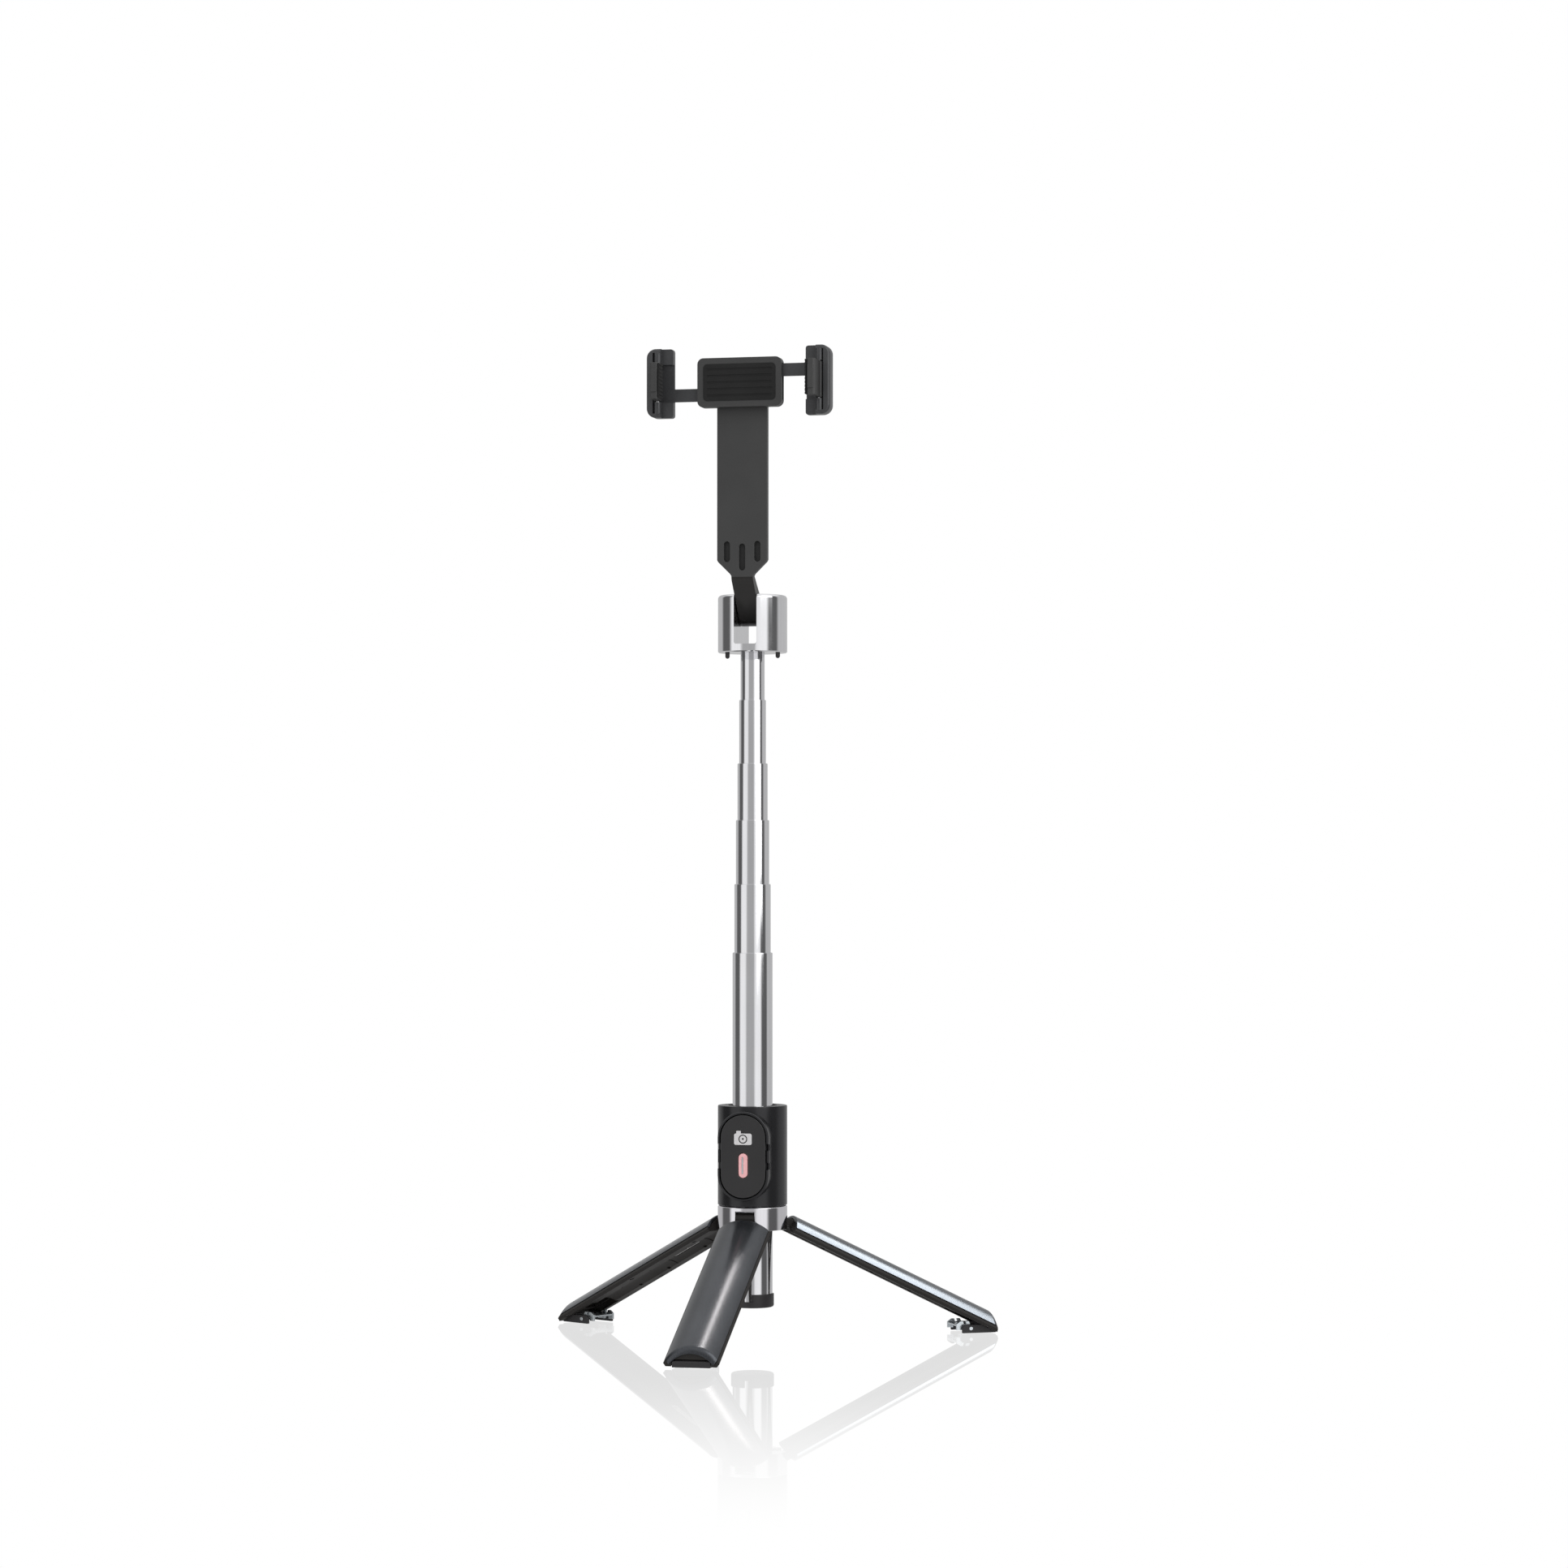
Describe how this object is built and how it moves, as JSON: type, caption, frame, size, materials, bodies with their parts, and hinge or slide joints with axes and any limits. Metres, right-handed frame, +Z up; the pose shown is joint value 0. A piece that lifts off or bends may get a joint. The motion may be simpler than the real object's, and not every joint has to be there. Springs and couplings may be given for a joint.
{
  "type": "selfie stick",
  "caption": "Telescopic selfie stick with a folding three-leg stand, a tilting neck, a sprung phone clamp with folding jaws and a slot-in remote.",
  "frame": {"origin": "middle of the footprint, on the surface that the feet stand on", "axes": "+Z up along the mast, -Y towards the front leg and the phone's face, +X to the front's right"},
  "size_m": [0.2288, 0.1982, 0.4831],
  "materials": {
    "collar": "satin black moulding",
    "bearing": "natural acetal",
    "polished": "mirror polished tube",
    "cap": "fine matt black",
    "steel": "turned steel",
    "clip": "bright pressed steel",
    "neck": "fine matt grey-black",
    "rubber": "soft black",
    "leg_shell": "satin metallic grey",
    "leg_liner": "matt brown-black",
    "leg_plate": "light grey",
    "remote_case": "satin",
    "remote_face": "glossy black",
    "light": "translucent pink",
    "board": "solder mask"
  },
  "bodies": {
    "stand": {"collar_shell": "collar", "guide_bush_upper": "bearing", "guide_bush_lower": "bearing", "hub_ring": "polished", "leg_pin_front": "steel", "leg_pin_right": "steel", "leg_pin_left": "steel"},
    "mast_1": {"main_tube": "polished", "bottom_cap": "cap"},
    "mast_2": {"tube_2": "polished", "bush_2": "bearing"},
    "mast_3": {"tube_3": "polished", "bush_3": "bearing"},
    "mast_4": {"tube_4": "polished", "bush_4": "bearing"},
    "mast_5": {"tube_5": "polished", "bush_5": "bearing"},
    "head": {"tube_6": "polished", "bush_6": "bearing", "head_block": "polished", "dock_pin_left": "steel", "dock_pin_right": "steel", "neck_pin": "steel"},
    "neck": {"neck_bracket": "neck", "clamp_bolt": "steel"},
    "clamp": {"clamp_housing": "neck", "clamp_cover": "neck", "clamp_spring_left": "steel", "clamp_spring_right": "steel"},
    "arm_left": {"arm_left": "neck", "jaw_pin_left": "steel"},
    "jaw_left": {"jaw_left": "neck", "jaw_pad_left": "rubber"},
    "arm_right": {"arm_right": "neck", "jaw_pin_right": "steel"},
    "jaw_right": {"jaw_right": "neck", "jaw_pad_right": "rubber"},
    "leg_front": {"leg_shell_front": "leg_shell", "leg_liner_front": "leg_liner", "leg_plate_front": "leg_plate", "foot_pin_front": "steel"},
    "foot_front": {"foot_frame_front": "cap", "foot_clip_front": "clip"},
    "leg_right": {"leg_shell_right": "leg_shell", "leg_liner_right": "leg_liner", "leg_plate_right": "leg_plate", "foot_pin_right": "steel"},
    "foot_right": {"foot_frame_right": "cap", "foot_clip_right": "clip"},
    "leg_left": {"leg_shell_left": "leg_shell", "leg_liner_left": "leg_liner", "leg_plate_left": "leg_plate", "foot_pin_left": "steel"},
    "foot_left": {"foot_frame_left": "cap", "foot_clip_left": "clip"},
    "remote": {"remote_back": "remote_case", "remote_board": "board", "remote_battery": "steel", "remote_light": "light"},
    "shutter": {"remote_button": "remote_face"}
  },
  "joints": [
    {"name": "mast_1_slide", "type": "slide", "parent": "stand", "child": "mast_1", "axis": [0, 0, -1], "range_m": [-0.031, 0.0744]},
    {"name": "mast_2_slide", "type": "slide", "parent": "mast_1", "child": "mast_2", "axis": [0, 0, -1], "range_m": [-0.106, 0.0334]},
    {"name": "mast_3_slide", "type": "slide", "parent": "mast_2", "child": "mast_3", "axis": [0, 0, -1], "range_m": [-0.1036, 0.0312]},
    {"name": "mast_4_slide", "type": "slide", "parent": "mast_3", "child": "mast_4", "axis": [0, 0, -1], "range_m": [-0.102, 0.0276]},
    {"name": "mast_5_slide", "type": "slide", "parent": "mast_4", "child": "mast_5", "axis": [0, 0, -1], "range_m": [-0.0938, 0.031]},
    {"name": "head_slide", "type": "slide", "parent": "mast_5", "child": "head", "axis": [0, 0, -1], "range_m": [-0.0919, 0.0229]},
    {"name": "neck_tilt", "type": "hinge", "parent": "head", "child": "neck", "pos_m": [0, 0.02481, 0.3567], "axis": [-1, 0, 0], "range_deg": [-60, 180]},
    {"name": "clamp_turn", "type": "hinge", "parent": "neck", "child": "clamp", "pos_m": [0, 0.00231, 0.4663], "axis": [0, 1, 0], "continuous": true},
    {"name": "arm_left_slide", "type": "slide", "parent": "clamp", "child": "arm_left", "axis": [1, 0, 0], "range_m": [-0.007, 0.005]},
    {"name": "jaw_left_fold", "type": "hinge", "parent": "arm_left", "child": "jaw_left", "pos_m": [-0.0403, -0.00569, 0.4663], "axis": [0, 0, 1], "range_deg": [0, 90]},
    {"name": "arm_right_slide", "type": "slide", "parent": "clamp", "child": "arm_right", "axis": [-1, 0, 0], "range_m": [-0.007, 0.005]},
    {"name": "jaw_right_fold", "type": "hinge", "parent": "arm_right", "child": "jaw_right", "pos_m": [0.0403, -0.00569, 0.4663], "axis": [0, 0, -1], "range_deg": [0, 90]},
    {"name": "leg_front_fold", "type": "hinge", "parent": "stand", "child": "leg_front", "pos_m": [0, 0.01121, 0.0595], "axis": [1, 0, 0], "range_deg": [0, 63.9]},
    {"name": "foot_front_fold", "type": "hinge", "parent": "leg_front", "child": "foot_front", "pos_m": [0, -0.0965, 0.0026], "axis": [1, 0, 0], "range_deg": [0, 26.1]},
    {"name": "leg_right_fold", "type": "hinge", "parent": "stand", "child": "leg_right", "pos_m": [0.01178, 0.03161, 0.0595], "axis": [-0.5, 0.866, 0], "range_deg": [0, 63.9]},
    {"name": "foot_right_fold", "type": "hinge", "parent": "leg_right", "child": "foot_right", "pos_m": [0.10506, 0.08547, 0.0026], "axis": [-0.5, 0.866, 0], "range_deg": [0, 26.1]},
    {"name": "leg_left_fold", "type": "hinge", "parent": "stand", "child": "leg_left", "pos_m": [-0.01178, 0.03161, 0.0595], "axis": [-0.5, -0.866, 0], "range_deg": [0, 63.9]},
    {"name": "foot_left_fold", "type": "hinge", "parent": "leg_left", "child": "foot_left", "pos_m": [-0.10506, 0.08547, 0.0026], "axis": [-0.5, -0.866, 0], "range_deg": [0, 26.1]},
    {"name": "remote_out", "type": "slide", "parent": "stand", "child": "remote", "axis": [0, 1, 0], "range_m": [-0.03, 0]},
    {"name": "shutter_press", "type": "slide", "parent": "remote", "child": "shutter", "axis": [0, 1, 0], "range_m": [0, 0.0004], "stiffness_N_per_m": 500}
  ]
}
